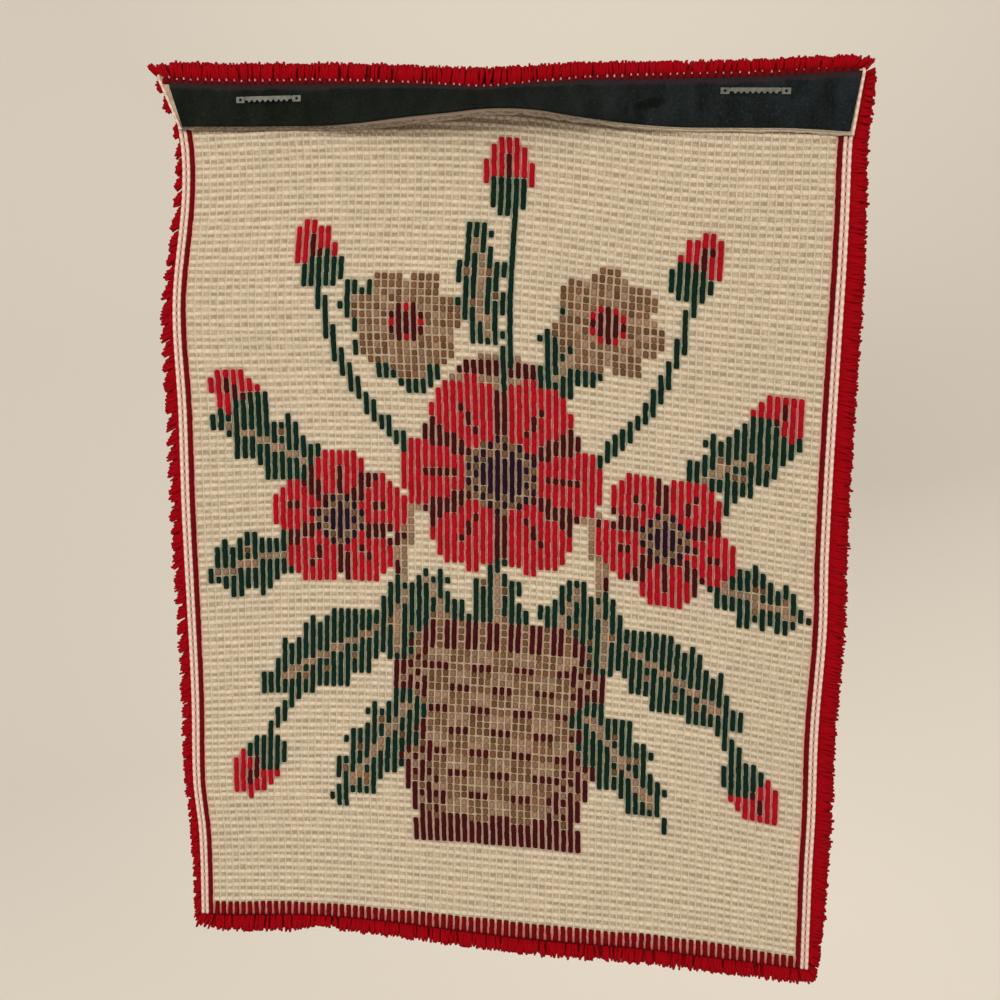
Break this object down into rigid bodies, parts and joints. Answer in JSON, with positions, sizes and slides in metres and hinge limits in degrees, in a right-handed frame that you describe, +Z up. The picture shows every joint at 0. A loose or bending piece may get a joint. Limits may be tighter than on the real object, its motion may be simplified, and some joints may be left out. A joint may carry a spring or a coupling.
{
  "type": "latch hook wall hanging",
  "caption": "Rectangular latch hook wall hanging seen from its worked back: mesh canvas with yarn loops, cut pile behind, folded top hem, cloth heading band and sawtooth hangers.",
  "frame": {"origin": "middle of the fold along the top edge, on the cloth", "axes": "+X to the right of a viewer who faces the worked back, +Y away from that viewer, through the pile, +Z up"},
  "size_m": [0.7398, 0.0678, 0.965],
  "materials": {
    "canvas": "cream mesh canvas with matt acrylic yarn loops",
    "pile": "cream cut yarn pile with a coloured design",
    "border_pile": "deep red cut yarn pile",
    "heading_band": "black-green plain woven cotton, faintly worn",
    "hanger": "dull zinc plated sheet steel"
  },
  "bodies": {
    "root": {"canvas": "canvas", "pile": "pile", "pile_top": "border_pile", "pile_left": "border_pile", "pile_right": "border_pile", "pile_bottom": "border_pile", "heading_band": "heading_band", "hanger_left": "hanger", "hanger_right": "hanger"}
  },
  "joints": []
}
